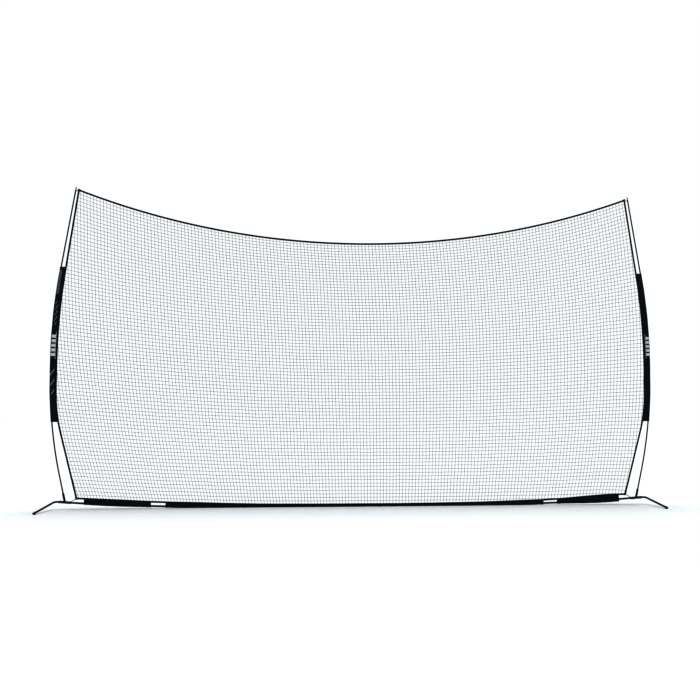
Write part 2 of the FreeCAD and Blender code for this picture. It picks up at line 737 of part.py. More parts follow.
keep_pair("base_sleeve", base_sleeve([
    (SIDE_SLEEVE_X, RAISED_FOOT, SLEEVE_UNDER),
    (BEND_2_X - BEND_TANGENT, RAISED_FOOT, SLEEVE_UNDER),
    (BEND_2_X, RAISED_FOOT, SLEEVE_SAG_UNDER),
    (BEND_2_X + BEND_TANGENT, RAISED_FOOT, SLEEVE_END_UNDER),
    (SIDE_SLEEVE_END_X, RAISED_FOOT, SLEEVE_END_UNDER)]))
half_stations = [(BOTTOM_FLAT_X, SLEEVE_FOOT, BASE_Z), (BEND_1_X - BEND_TANGENT, SLEEVE_FOOT, BASE_Z),
                 (BEND_1_X, TAPER_FOOT, SLEEVE_UNDER), (MIDDLE_SLEEVE_X, RAISED_FOOT, SLEEVE_UNDER)]
other_half = [(-x, foot, under) for x, foot, under in reversed(half_stations)]
keep("base_sleeve_middle", base_sleeve(other_half + half_stations))

for name, shape in nodes.items():
    shape.exportStep("parts/" + name + ".step")
    print(name, "valid", shape.isValid(), "solids", len(shape.Solids), "volume", round(shape.Volume, 1))
whole = Part.makeCompound(list(nodes.values()))
box = whole.BoundBox
print("nodes", len(nodes), "box", [round(value, 2) for value in
      (box.XMin, box.XMax, box.YMin, box.YMax, box.ZMin, box.ZMax)])
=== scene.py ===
import json
import math

import bpy
import numpy as np
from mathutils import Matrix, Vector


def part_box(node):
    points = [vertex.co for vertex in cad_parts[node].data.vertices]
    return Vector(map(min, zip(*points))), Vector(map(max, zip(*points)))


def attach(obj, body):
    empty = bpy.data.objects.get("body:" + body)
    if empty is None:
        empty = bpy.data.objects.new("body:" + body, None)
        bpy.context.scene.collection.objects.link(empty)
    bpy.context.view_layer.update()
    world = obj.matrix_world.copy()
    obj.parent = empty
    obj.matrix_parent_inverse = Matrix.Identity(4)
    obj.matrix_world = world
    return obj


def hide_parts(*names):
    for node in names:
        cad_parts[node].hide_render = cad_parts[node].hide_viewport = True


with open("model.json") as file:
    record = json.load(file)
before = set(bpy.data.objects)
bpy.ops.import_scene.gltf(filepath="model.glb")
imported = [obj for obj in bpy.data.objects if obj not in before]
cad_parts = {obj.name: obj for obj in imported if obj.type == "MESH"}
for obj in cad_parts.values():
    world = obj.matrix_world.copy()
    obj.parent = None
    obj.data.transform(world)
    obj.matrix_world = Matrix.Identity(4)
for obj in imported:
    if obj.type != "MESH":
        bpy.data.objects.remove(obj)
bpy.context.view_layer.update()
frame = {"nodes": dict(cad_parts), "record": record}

# The looks of a wide barrier net on two bowed poles and a tube base. All sizes are in metres
BODY = "frame"
SIDES = {"left": -1, "right": 1}
DEPTH = np.array((0.0, 1.0, 0.0))

# The plane of the net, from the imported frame
low_corner, high_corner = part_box("binding_top")
NET_Y = (low_corner.y + high_corner.y) / 2

# Where the base tube's snap buttons are along it
BASE_BUTTONS = 5
button_boxes = [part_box("base_button_%d" % number) for number in range(1, BASE_BUTTONS + 1)]
BUTTON_PLACES = [(low.x + high.x) / 2 for low, high in button_boxes]

# Outline of the net: each side's low and high corner, x outwards and z up
CORNERS = {"left": ((2.774, 0.102), (2.808, 3.178)), "right": ((2.770, 0.102), (2.803, 3.177))}
NET_LOW, NET_HIGH = (z for x, z in CORNERS["left"])
EDGE_KNEE_X = 2.993
EDGE_KNEES_Z = (0.954, 1.883)
EDGE_TANGENTS = (0.222, 0.474)
TOP_CURVE = (2.6743, 0.0022, 0.0616, -0.00028, 0.00033)     # height over x, in growing powers

# Bottom edge of the net from the left corner to the right one: x and height
BOTTOM_PROFILE = ((-2.774, 0.102), (-2.56, 0.091), (-2.25, 0.074), (-2.1, 0.065), (-1.86, 0.055),
                  (-1.57, 0.047), (-1.37, 0.039), (-0.97, 0.029), (-0.4, 0.024), (0.4, 0.022),
                  (0.85, 0.025), (1.25, 0.029), (1.67, 0.042), (1.88, 0.048), (2.13, 0.062),
                  (2.38, 0.082), (2.55, 0.095), (2.774, 0.102))
BOTTOM_SMOOTHING = 0.25
BOTTOM_STEP = 0.01
BOTTOM_SPARE = 1.0           # how far its height is also worked out past both corners
BOTTOM_LEAN = 0.011          # how far the bottom edge hangs in front of the net's plane in the middle
LEAN_STARTS = 1.7
LEAN_FULL = 0.8

# Pole and base tube, right half: corners of their centre lines, and the tangent length of each bend
POLE_POINTS = ((2.884, 0.06475), (3.046, 0.801), (3.046, 1.914), (2.834, 3.207))
POLE_TANGENTS = (0.478, 0.474)
BASE_POINTS = ((0.0, 0.011), (1.7, 0.011), (2.45, 0.0335), (2.979, 0.0716))
BASE_TANGENTS = (0.2, 0.2)
TUBE_R = 0.0095
PATH_STEP = 0.01
ARC_STEPS = 8                # on each bend, at least

# Mesh of the net: a column's place at mid height over its number, from power 1, the columns each side of
# the middle one, the rows, and the twine
COLUMN_CURVE = (0.03475, 8.15e-6, -3.6e-8)
COLUMN_REACH = 93
ROWS = 83
TWINE_R = 0.00135
TWINE_SIDES = 4
KNOT_R = 0.0020
KNOT_HALF = 0.0042
PANEL_NAMES = ("net_mesh_left", "net_mesh_middle", "net_mesh_right")
ROW_EASE = 0.025             # the rows lie closer at the bottom than at the top
SAG_SHARE = 0.5              # how much of the top edge's sag dies out fast below it
SAG_POWER = 2.48
DROOP_POWER = 2              # how fast the bottom edge's droop dies out above it
SLIP = 0.091                 # the rows' drop at the bottom right, where they run into the bottom edge
SLIP_POWERS = (3.0, 1.5)     # how it grows with x, and towards the bottom
CROSSING_ROUNDS = 3          # a crossing's height and its place across depend on each other
LEAST_STEP = 0.0001          # between two stations on a twine
EDGE_ROOM = 0.0001           # keeps a crossing that lies right on the bottom edge

# How the columns lean over height, in growing powers: all alike, with x, and with x squared
MID_HEIGHT = 1.5
LEAN_REACH = 2.6
LEANS = ((-0.018, 0.0, -0.0095), (0.277, -0.19, 0.028), (-0.038, 0.0215, 0.0))

# A term of a wave, wherever one is listed, is its size, rate, phase and slant

# Broad waves out of the net's plane: round ones by rate and phase across and up, and a slanted one
BILLOW = 0.008
BILLOW_ROUND = ((2.1, 0.7), (1.9, 0.3))
BILLOW_SLANTED = ((0.5, 4.7, 2.0, -1.3),)
BILLOW_EASE = (0.5, 0.4)     # how far from the sides and from the top they are full
BOTTOM_EASE = 0.5            # how far above the bottom edge they are full, and its lean is gone

# Small shifts of the crossings
RIPPLE = 0.0012
RIPPLE_WAVES = 7
RIPPLE_LENGTHS = (0.12, 0.6)
RIPPLE_FADE = 0.05
RIPPLE_SEEDS = (3, 4)

# Bindings
TAPE_WIDTH = 0.017
TAPE_DEPTH = 0.0036
TAPE_STEP = 0.01
TAPE_SIDES = 12
TAPE_SQUARING = (0.45, 0.7)  # powers that square off its oval section, across and in depth
TAPE_STATIONS = 280
TAPE_OVERRUN = 0.010
TAPE_WIDTH_WAVES = ((0.010, 19.0, 0.0, 0.0), (0.007, 47.0, 1.0, 0.0))
TAPE_LIE_WAVES = ((0.0006, 31.0, 0.0, 0.0), (0.0004, 73.0, 2.0, 0.0))
# How much wider the tape is sewn at the corners, and how far from its end that is full and has stopped
CORNER_PATCH = (0.45, 0.016, 0.030)

# Cloth of all sleeves
CLOTH_THICKNESS = 0.0009
HEM = 0.022
HEM_EDGE = 0.0008            # half the length over which the doubled hem stops
HEM_PLUS = 0.0009            # how much the doubled hem stands out
HEM_EASE = 0.2               # the share of the web over which it comes out from under the binding
TUCK = 0.005                 # how far the cloth runs under the binding
WEB_HALF = 0.0007            # half the distance between the web's two layers
WEB_SLACK = 0.0006           # what is added to that where the cloth is loose
SHARP = math.radians(50)     # edges of the cloth that turn by more than this are shaded sharp

# Drag lines in held cloth: folds, sharp lines and their share, and how the height of both swells along it
CREASE_FOLDS = ((0.5, 37.0, 0.0, 2.2), (0.2, 88.0, 0.0, -2.6))
CREASE_LINES = ((1.0, 23.0, 0.8, -1.5),)
CREASE_SHARP = 0.3
CREASE_MEAN = 0.6
CREASE_SWING = ((0.4, 5.1, 1.0, 0.0),)

# Side sleeves
SLEEVE_Z = (0.855, 2.402)
SLEEVE_STEP = 0.007
CHANNEL_R = 0.0086
CHANNEL_SLACK = 0.05
CHANNEL_TWIST = 23.0         # how fast the slack turns round the pole along it
CHANNEL_OPEN = 0.86 * math.pi
SEAM_GAP = 0.0045            # from the channel to its row of stitches
SEAM_ROOM = 0.036            # from that row to the binding
WEB_POINTS = 11
CHANNEL_POINTS = 15
WRINKLE = 0.0022

# Base sleeves: node, both ends, and the width that each was cut to
BASE_SLEEVES = (("base_sleeve_left", -2.7, -2.052, 0.125), ("base_sleeve_middle", -1.908, 1.908, 0.112),
                ("base_sleeve_right", 2.052, 2.7, 0.140))
BASE_STEP = 0.008
BASE_SLACK = 0.0016
BASE_WRINKLE = 0.0016
BASE_FOLD = 0.0006
BASE_FOLDS = ((0.6, 47.0, 0.0, 1.7), (0.4, 131.0, 0.0, -2.3))
FLOOR_GAP = 0.0006
AROUND_POINTS = 31
RISE_POINTS = 7
LEAST_RISE = 0.010           # the cloth's way from the tube to the binding, at least

# How far the right sleeve's foot hangs below the tube, where that starts and is full, and how it gathers
# towards the lowest point
END_DROP = 0.0115
DROP_STARTS = 2.0
DROP_FULL = 2.62
DROP_POWER = 1.5

# The middle sleeve's foot, spread on the floor: where it starts, is full, starts to end and ends, and the
# cloth's distance from the tube's axis over the angle from the top in degrees
FOOT_RAMPS = (-1.0, -0.2, 1.45, 1.75)
FOOT_SHAPE = ((0, 45, 60, 90, 113, 130, 180), (0.0111, 0.0111, 0.0125, 0.0165, 0.0262, 0.0262, 0.0111))

# The cloth over a snap button: its distance from the tube's axis, how far along the tube it is lifted and
# over what length that fades, and the same round the front, as sines of the angle from the top
BUTTON_COVER = 0.0138
BUTTON_REACH = (0.016, 0.010)
BUTTON_FRONT = (0.75, 0.20)

# Rows of stitches: from a cloth's end, from its seam, and from the tape's middle over its width
HEM_ROWS = (0.019, 0.004)
SEAM_ROWS = (0.002, 0.0065)
TAPE_ROWS = (0.36, -0.36)
STITCH_PITCH = 0.0042
STITCH_HALF = 0.00035
STITCH_SOFT = 0.6            # over that half width
STITCH_ENDS = (-0.45, -0.2)  # where a stitch starts and is full, on a sine over the pitch

# Weave and ridges
CLOTH_PITCH = 0.0012
RIB_PITCH = 0.0018
RIDGE_DEPTH = 0.4            # of yarn and strands, over their pitch
WAVE_PERIOD = math.pi / 10   # between the ridges of a wave texture with a scale of 1

# Plain pale marks on the side sleeves: printed bars on each side and, on the left, three groups of fainter
# slanted strokes. Each group: lowest and highest place along the sleeve, nearest and furthest place across
# it, pitch, filled share, slant and how strong the mark is
SLEEVE_MARKS = {"left": ((1.50, 1.73, 0.014, 0.053, 0.0455, 0.66, 0.0, 1.0),
                        (1.48, 1.75, 0.009, 0.012, 1.0, 1.0, 0.0, 0.9),
                        (2.13, 2.37, 0.026, 0.056, 0.021, 0.36, 1.1, 0.5),
                        (1.82, 2.06, 0.020, 0.044, 0.058, 0.16, 2.0, 0.55),
                        (1.13, 1.42, 0.016, 0.052, 0.104, 0.10, 1.6, 0.7)),
               "right": ((1.53, 1.74, 0.022, 0.056, 0.0425, 0.66, 0.0, 1.0),
                         (1.51, 1.76, 0.016, 0.019, 1.0, 1.0, 0.0, 0.9))}
MARK_SOFT = 0.0006

# Colours of what has no slot of its own
CLOTH_COLOR = (0.012, 0.0175, 0.021)
MARK_COLOR = (0.88, 0.90, 0.91)

# The sockets of a Mix node that take and give colours
MIX_UNDER = 6
MIX_OVER = 7
MIX_RESULT = 2


# Lines and waves
def resample(points, step):
    """The same line with points at an even spacing."""
    lengths = np.concatenate([[0], np.cumsum(np.linalg.norm(np.diff(points, axis=0), axis=1))])
    count = max(int(round(lengths[-1] / step)), 1)
    places = np.linspace(0, lengths[-1], count + 1)
    return np.stack([np.interp(places, lengths, points[:, k]) for k in range(points.shape[1])], axis=1)


def rounded_path(corners, tangents):
    """Points along straight runs joined by arcs; each inner corner has its own tangent length."""
    corners = [np.array(corner, float) for corner in corners]
    points = [corners[0]]
    for index in range(1, len(corners) - 1):
        corner = corners[index]
        into = (corner - corners[index - 1]) / np.linalg.norm(corner - corners[index - 1])
        away = (corners[index + 1] - corner) / np.linalg.norm(corners[index + 1] - corner)
        tangent = tangents[index - 1]
        turn = math.acos(np.clip(into @ away, -1, 1))
        radius = tangent / math.tan(turn / 2)
        start = corner - into * tangent
        inward = (away - into * (into @ away)) / math.sin(turn)
        centre = start + inward * radius
        for share in np.linspace(0, 1, max(int(radius * turn / PATH_STEP), ARC_STEPS) + 1):
            angle = turn * share
            points.append(centre - inward * radius * math.cos(angle) + into * radius * math.sin(angle))
    points.append(corners[-1])
    return resample(np.array(points), PATH_STEP)


def lengthened(points, more):
    """A line run on straight past both ends."""
    ends = []
    for end, inner in ((points[0], points[1]), (points[-1], points[-2])):
        ends.append(end + (end - inner) / np.linalg.norm(end - inner) * more)
    return np.concatenate([ends[:1], points, ends[1:]])


def unit(vectors):
    """The same directions, each of length 1."""
    return vectors / np.linalg.norm(vectors, axis=1)[:, None]


def waves(terms, place, aside=0.0):
    """The sum of some waves along place, each of which slants over aside."""
    return sum(size * np.sin(rate * place + slant * aside + phase) for size, rate, phase, slant in terms)


def ease(value):
    """0 below 0, 1 above 1, smooth between."""
    value = np.clip(value, 0, 1)
    return value * value * (3 - 2 * value)


# Shape of the net and of what carries it
EDGE_PATHS = {}
for side, (low, high) in CORNERS.items():
    knees = [(EDGE_KNEE_X, z) for z in EDGE_KNEES_Z]
    EDGE_PATHS[side] = rounded_path((low, *knees, high), EDGE_TANGENTS)
POLE_PATH = rounded_path(POLE_POINTS, POLE_TANGENTS)
BASE_PATH = rounded_path(BASE_POINTS, BASE_TANGENTS)


def edge_x(z, x):
    """Distance from the middle to the side edge, on the side that x is on."""
    left, right = (np.interp(z, EDGE_PATHS[side][:, 1], EDGE_PATHS[side][:, 0]) for side in SIDES)
    return np.where(np.asarray(x) < 0, left, right)


def pole_x(z):
    return np.interp(z, POLE_PATH[:, 1], POLE_PATH[:, 0])


def tube_z(x):
    return np.interp(np.abs(x), BASE_PATH[:, 0], BASE_PATH[:, 1])


def top_z(x):
    return sum(term * x ** power for power, term in enumerate(TOP_CURVE))


def smooth_bottom():
    """The bottom edge's heights on an even grid, with the profile's corners rounded off."""
    xs, zs = np.array(BOTTOM_PROFILE).T
    grid = np.arange(xs[0] - BOTTOM_SPARE, xs[-1] + BOTTOM_SPARE, BOTTOM_STEP)
    end_slope = (zs[-1] - zs[-2]) / (xs[-1] - xs[-2])
    heights = np.interp(grid, xs, zs) + end_slope * np.clip(np.abs(grid) - xs[-1], 0, None)
    odd_count = int(BOTTOM_SMOOTHING / BOTTOM_STEP) | 1
    window = np.hanning(odd_count)
    padded = np.pad(heights, odd_count // 2, mode="edge")
    return grid, np.convolve(padded, window / window.sum(), mode="valid")


BOTTOM_GRID = smooth_bottom()


def bottom_z(x):
    return np.interp(x, *BOTTOM_GRID)


def bottom_y(x):
    """The bottom edge leans on the front of the base tube in the middle."""
    return NET_Y - BOTTOM_LEAN * ease((LEAN_STARTS - np.abs(x)) / (LEAN_STARTS - LEAN_FULL))


def net_y(x, z):
    """Depth of the net: plumb over the poles, leaning and gently billowed in between."""
    (rate_x, phase_x), (rate_z, phase_z) = BILLOW_ROUND
    round_waves = np.sin(rate_x * x + phase_x) * np.sin(rate_z * z + phase_z)
    billow = BILLOW * (round_waves + waves(BILLOW_SLANTED, x, z))
    from_side, from_top = BILLOW_EASE
    inside = ease((edge_x(z, x) - np.abs(x)) / from_side) * ease((top_z(x) - z) / from_top)
    above = ease((z - bottom_z(x)) / BOTTOM_EASE)
    return NET_Y + (bottom_y(x) - NET_Y) * (1 - above) + billow * inside * above


def on_net(x, z):
    """Points of the net."""
    return np.stack([x, net_y(x, z), z], axis=1)


# Meshes
def new_object(name, vertices, faces, smooth=True, maps=None):
    """A mesh object. maps holds texture coordinates in metres, one pair per vertex, by name."""
    mesh = bpy.data.meshes.new(name)
    mesh.from_pydata([tuple(v) for v in vertices], [], [tuple(f) for f in faces])
    if smooth:
        mesh.polygons.foreach_set("use_smooth", [True] * len(mesh.polygons))
    for title, pairs in (maps or {}).items():
        corners = np.empty(len(mesh.loops), np.int32)
        mesh.loops.foreach_get("vertex_index", corners)
        layer = mesh.uv_layers.new(name=title)
        layer.data.foreach_set("uv", np.asarray(pairs, np.float32)[corners].ravel())
    mesh.validate()
    piece = bpy.data.objects.new(name, mesh)
    bpy.context.scene.collection.objects.link(piece)
    return piece


def finish_piece(piece, slot, node, material=None):
    """Gives a piece its slot's material or another, and puts it in a node's place."""
    piece.data.materials.append(material or SLOT_FINISH[slot])
    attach(piece, BODY)
    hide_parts(node)


def grid_faces(index):
    """Faces between neighbours in a grid of vertex numbers."""
    corners = (index[:-1, :-1], index[:-1, 1:], index[1:, 1:], index[1:, :-1])
    return np.stack(corners, axis=-1).reshape(-1, 4).tolist()


def ring_angles(sides):
    return [2 * math.pi * index / sides for index in range(sides)]


class Tubes:
    """Collects many thin tubes into one mesh."""

    def __init__(self, sides):
        self.sides = sides
        self.vertices = []
        self.faces = []
        self.pairs = []
        self.count = 0

    def add(self, centres, radius):
        """A tube along centres, with one radius or one per point."""
        if len(centres) < 2:
            return
        along = unit(np.gradient(centres, axis=0))
        side = unit(np.cross(along, DEPTH))
        other = np.cross(side, along)
        radius = np.broadcast_to(radius, len(centres))
        rings = [centres + (side * math.cos(angle) + other * math.sin(angle)) * radius[:, None]
                 for angle in ring_angles(self.sides)]
        self.add_rings(np.stack(rings, axis=1))

    def add_rings(self, rings, pairs=None):
        """rings is stations by ring points by 3; both ends are closed."""
        stations, sides = rings.shape[:2]
        self.vertices.append(rings.reshape(-1, 3))
        if pairs is not None:
            self.pairs.append(pairs.reshape(-1, 2))
        index = self.count + np.arange(stations * sides).reshape(stations, sides)
        self.faces += grid_faces(np.hstack([index, index[:, :1]]))
        self.faces.append(index[0][::-1].tolist())
        self.faces.append(index[-1].tolist())
        self.count += stations * sides

    def build(self, name):
        maps = {"cloth": np.concatenate(self.pairs)} if self.pairs else None
        return new_object(name, np.concatenate(self.vertices), self.faces, maps=maps)


# Materials
def scaled(color, factor):
    return tuple(min(channel * factor, 1.0) for channel in color)


class Finish:
    """A node material under construction: one Principled shader, textures in metres."""

    def __init__(self, name, color, roughness, metallic=0.0, shine=0.5):
        self.material = bpy.data.materials.new(name)
        self.material.use_nodes = True
        self.tree = self.material.node_tree
        self.shader = self.tree.nodes["Principled BSDF"]
        self.set("Base Color", (*color, 1.0))
        self.set("Roughness", roughness)
        self.set("Metallic", metallic)
        self.set("Specular IOR Level", shine)
        self.coordinates = self.tree.nodes.new("ShaderNodeTexCoord").outputs["Object"]

    def set(self, socket, value):
        self.shader.inputs[socket].default_value = value

    def drive(self, socket, source):
        self.tree.links.new(source, self.shader.inputs[socket])

    def node(self, kind, inputs=None, **settings):
        made = self.tree.nodes.new("ShaderNode" + kind)
        for key, value in settings.items():
            setattr(made, key, value)
        for socket, value in (inputs or {}).items():
            if isinstance(value, bpy.types.NodeSocket):
                self.tree.links.new(value, made.inputs[socket])
            else:
                made.inputs[socket].default_value = value
        return made

    def map(self, name):
        """A mesh's own texture coordinates, along and across its cloth."""
        return self.node("UVMap", uv_map=name).outputs["UV"]

    def parts(self, vector):
        split = self.node("SeparateXYZ", {"Vector": vector})
        return split.outputs["X"], split.outputs["Y"]

    def place(self, scale=(1.0, 1.0, 1.0), turn=(0.0, 0.0, 0.0)):
        return self.node("Mapping", {"Vector": self.coordinates, "Scale": scale,
                                     "Rotation": turn}).outputs["Vector"]

    def noise(self, scale, detail, stretch=(1.0, 1.0, 1.0)):
        return self.node("TexNoise", {"Vector": self.place(stretch), "Scale": scale,
                                      "Detail": detail}).outputs["Fac"]

    def wave(self, pitch, direction, distortion=0.0, turn=(0.0, 0.0, 0.0)):
        """Straight ridges with a given pitch in metres, a little wider on a diagonal."""
        return self.node("TexWave", {"Vector": self.place(turn=turn), "Scale": WAVE_PERIOD / pitch,
                                     "Distortion": distortion, "Detail": 1.0},
                         bands_direction=direction).outputs["Fac"]

    def math(self, operation, first, second=0.0):
        return self.node("Math", {0: first, 1: second}, operation=operation).outputs["Value"]

    def plus(self, first, second):
        return self.math("ADD", first, second)

    def times(self, first, second):
        return self.math("MULTIPLY", first, second)

    def total(self, *parts):
        """The sum of some textures, each times its weight."""
        whole = self.times(*parts[0])
        for part in parts[1:]:
            whole = self.plus(whole, self.times(*part))
        return whole

    def most(self, masks):
        first = masks[0]
        for mask in masks[1:]:
            first = self.math("MAXIMUM", first, mask)
        return first

    def spread(self, factor, low, high, start=0.0, end=1.0):
        """Maps a factor's range from start to end onto the one from low to high."""
        return self.node("MapRange", {"Value": factor, "From Min": start, "From Max": end,
                                      "To Min": low, "To Max": high}).outputs["Result"]

    def line(self, value, centre, half, soft):
        """1 where a value is within half of a centre, fading to 0 over soft."""
        distance = self.math("ABSOLUTE", self.math("SUBTRACT", value, centre))
        return self.spread(distance, 1.0, 0.0, half, half + soft)

    def band(self, value, low, high):
        """1 between low and high, with a soft edge."""
        return self.line(value, (low + high) / 2, (high - low) / 2, MARK_SOFT)

    def stitches(self, across, along, centre):
        """A row of stitches: dashes along one coordinate at a place on the other."""
        turns = self.math("SINE", self.times(along, 2 * math.pi / STITCH_PITCH))
        dash = self.spread(turns, 0.0, 1.0, *STITCH_ENDS)
        return self.times(dash, self.line(across, centre, STITCH_HALF, STITCH_HALF * STITCH_SOFT))

    def marks(self, along, across, groups):
        """Groups of slanted bars, each in its own rectangle."""
        masks = []
        for low, high, near, far, pitch, filled, slant, boldness in groups:
            slanted = self.plus(along, self.times(across, slant))
            place = self.math("FRACT", self.math("DIVIDE", slanted, pitch))
            bar = self.line(place, 0.5, filled / 2, MARK_SOFT / pitch)
            within = self.times(self.band(along, low, high), self.band(across, near, far))
            masks.append(self.times(self.times(bar, within), boldness))
        return self.most(masks)

    def tint(self, factor, color, dark, light, start=0.3, end=0.7):
        """The base colour, from a dark shade of it at start to a light one at end."""
        ramp = self.node("ValToRGB", {"Fac": factor})
        for element, shade, position in zip(ramp.color_ramp.elements, (dark, light), (start, end)):
            element.position = position
            element.color = (*scaled(color, shade), 1.0)
        self.drive("Base Color", ramp.outputs["Color"])
        return ramp.outputs["Color"]

    def overlay(self, under, mask, color, shade=1.0):
        """A shade of a colour over the base where a mask says so."""
        mixed = self.node("Mix", {"Factor": mask, MIX_UNDER: under, MIX_OVER: (*scaled(color, shade), 1.0)},
                          data_type="RGBA")
        self.drive("Base Color", mixed.outputs[MIX_RESULT])
        return mixed.outputs[MIX_RESULT]

    def rough(self, factor, low, high):
        self.drive("Roughness", self.spread(factor, low, high))

    def bump(self, height, distance, strength):
        bump = self.node("Bump", {"Height": height, "Distance": distance, "Strength": strength})
        self.drive("Normal", bump.outputs["Normal"])


def cloth_finish(name, color, pitch, side=None):
    """Coarse woven polyester: crossed yarn, slubs, faded patches, sewn rows and, on a side, worn pale marks.
    """
    finish = Finish(name, color, roughness=0.8, shine=0.22)
    fading = finish.noise(scale=7.0, detail=5.0)
    dust = finish.noise(scale=48.0, detail=6.0)
    finish.coordinates = finish.map("cloth")
    weave = finish.times(finish.wave(pitch, "X"), finish.wave(pitch, "Y"))
    slub = finish.noise(scale=300.0, detail=3.0, stretch=(1.0, 0.25, 1.0))
    along, across = finish.parts(finish.coordinates)
    from_end, from_seam = finish.parts(finish.map("seams"))
    rows = [finish.stitches(from_end, across, row) for row in HEM_ROWS]
    rows += [finish.stitches(from_seam, along, row) for row in SEAM_ROWS]
    sewn = finish.most(rows)
    mottle = finish.plus(finish.times(slub, finish.spread(fading, low=0.6, high=1.5)),
                         finish.spread(dust, low=0.0, high=0.35, start=0.5, end=0.8))
    under = finish.tint(mottle, color, dark=0.5, light=2.2, start=0.2, end=0.8)
    under = finish.overlay(under, sewn, color, shade=3.5)
    if side:
        wear = finish.noise(scale=420.0, detail=8.0)
        cracks = finish.spread(wear, low=0.5, high=1.0, start=0.33, end=0.48)
        # Pale marks over the cloth: printed bars on each side and, on the left, fainter slanted strokes
        marks = finish.marks(along, across, SLEEVE_MARKS[side])
        finish.overlay(under, finish.times(marks, cracks), MARK_COLOR)
    finish.rough(fading, low=0.68, high=0.92)
    height = finish.total((weave, 0.7), (slub, 0.4), (sewn, 1.5))
    finish.bump(height, distance=pitch * RIDGE_DEPTH, strength=0.6)
    finish.set("Sheen Weight", 0.06)
    finish.set("Sheen Roughness", 0.5)
    return finish.material


def webbing_finish(name, color):
    """Ribbed tape with two sewn rows: narrow ribs across, a finer line of yarn along."""
    finish = Finish(name, color, roughness=0.75, shine=0.2)
    wear = finish.noise(scale=5.0, detail=4.0)
    lint = finish.noise(scale=60.0, detail=6.0)
    finish.coordinates = finish.map("cloth")
    along, across = finish.parts(finish.coordinates)
    ribs = finish.wave(RIB_PITCH, "X", distortion=0.4)
    yarn = finish.noise(scale=900.0, detail=2.0, stretch=(0.3, 1.0, 1.0))
    sewn = finish.most([finish.stitches(across, along, TAPE_WIDTH * row) for row in TAPE_ROWS])
    mottle = finish.plus(finish.times(ribs, finish.spread(wear, low=0.5, high=1.3)),
                         finish.spread(lint, low=0.0, high=0.4, start=0.5, end=0.8))
    under = finish.tint(mottle, color, dark=0.6, light=1.9)
    finish.overlay(under, sewn, color, shade=3.0)
    finish.rough(yarn, low=0.6, high=0.9)
    height = finish.total((ribs, 1.0), (yarn, 0.5), (sewn, 1.2))
    finish.bump(height, distance=0.0005, strength=0.6)
    finish.set("Sheen Weight", 0.05)
    return finish.material


def cord_finish(name, color, pitch, fleck=1.6):
    """Braided or twisted cord: slanted strands both ways."""
    finish = Finish(name, color, roughness=0.7, shine=0.25)
    one = finish.wave(pitch, "DIAGONAL", distortion=0.6)
    two = finish.wave(pitch, "DIAGONAL", distortion=0.6, turn=(0.0, math.pi / 2, 0.0))
    strands = finish.most([one, two])
    fibre = finish.noise(scale=1500.0, detail=2.0)
    age = finish.noise(scale=3.0, detail=4.0)
    worn = finish.times(finish.times(strands, fibre), finish.spread(age, low=0.6, high=1.4))
    finish.tint(worn, color, dark=0.5, light=fleck, start=0.1, end=0.6)
    finish.rough(fibre, low=0.55, high=0.85)
    finish.bump(strands, distance=pitch * RIDGE_DEPTH, strength=0.6)
    return finish.material


def enamel_finish(name, color):
    """Powder-coated steel tube: a fine orange peel with faint scuffs and dust."""
    finish = Finish(name, color, roughness=0.4, shine=0.35)
    peel = finish.noise(scale=650.0, detail=2.0)
    scuff = finish.noise(scale=24.0, detail=8.0, stretch=(0.35, 1.0, 1.0))
    dust = finish.noise(scale=110.0, detail=5.0)
    worn = finish.plus(scuff, finish.spread(dust, low=0.0, high=0.12, start=0.55, end=0.8))
    finish.tint(worn, color, dark=0.8, light=3.0, start=0.52, end=0.82)
    finish.rough(worn, low=0.32, high=0.6)
    finish.bump(finish.total((peel, 1.0), (scuff, 0.4)), distance=0.0002, strength=0.35)
    finish.set("Coat Weight", 0.1)
    finish.set("Coat Roughness", 0.35)
    return finish.material


def rod_finish(name, color):
    """Pultruded fibreglass rod: fine lengthwise fibres under a thin gloss."""
    finish = Finish(name, color, roughness=0.45, shine=0.2)
    fibres = finish.noise(scale=300.0, detail=5.0, stretch=(6.0, 6.0, 0.15))
    scratch = finish.noise(scale=60.0, detail=8.0, stretch=(1.0, 1.0, 0.2))
    worn = finish.plus(fibres, finish.spread(scratch, low=0.0, high=0.2, start=0.6, end=0.85))
    finish.tint(worn, color, dark=0.7, light=2.4, start=0.45, end=0.8)
    finish.rough(fibres, low=0.42, high=0.65)
    finish.bump(fibres, distance=0.00015, strength=0.4)
    return finish.material


def rubber_finish(name, color):
    """Matt moulded rubber with a fine grain and some dust."""
    finish = Finish(name, color, roughness=0.85, shine=0.3)
    grain = finish.noise(scale=380.0, detail=4.0)
    dust = finish.noise(scale=30.0, detail=5.0)
    finish.tint(dust, color, dark=0.8, light=3.2, start=0.45, end=0.8)
    finish.rough(dust, low=0.75, high=0.95)
    finish.bump(grain, distance=0.0003, strength=0.5)
    return finish.material


def plastic_finish(name, color):
    """Moulded plastic with a fine grain and faint blotches."""
    finish = Finish(name, color, roughness=0.5, shine=0.4)
    grain = finish.noise(scale=700.0, detail=3.0)
    blotch = finish.noise(scale=60.0, detail=3.0)
    finish.tint(blotch, color, dark=0.85, light=1.15)
    finish.rough(blotch, low=0.4, high=0.6)
    finish.bump(grain, distance=0.00015, strength=0.4)
    return finish.material


def steel_finish(name, color):
    """Bare steel, brushed and smudged."""
    finish = Finish(name, color, roughness=0.3, metallic=1.0)
    brushed = finish.noise(scale=900.0, detail=3.0, stretch=(1.0, 1.0, 0.08))
    smudge = finish.noise(scale=45.0, detail=4.0)
    finish.tint(smudge, color, dark=0.8, light=1.15)
    finish.rough(smudge, low=0.22, high=0.42)
    finish.bump(brushed, distance=0.0001, strength=0.3)
    return finish.material


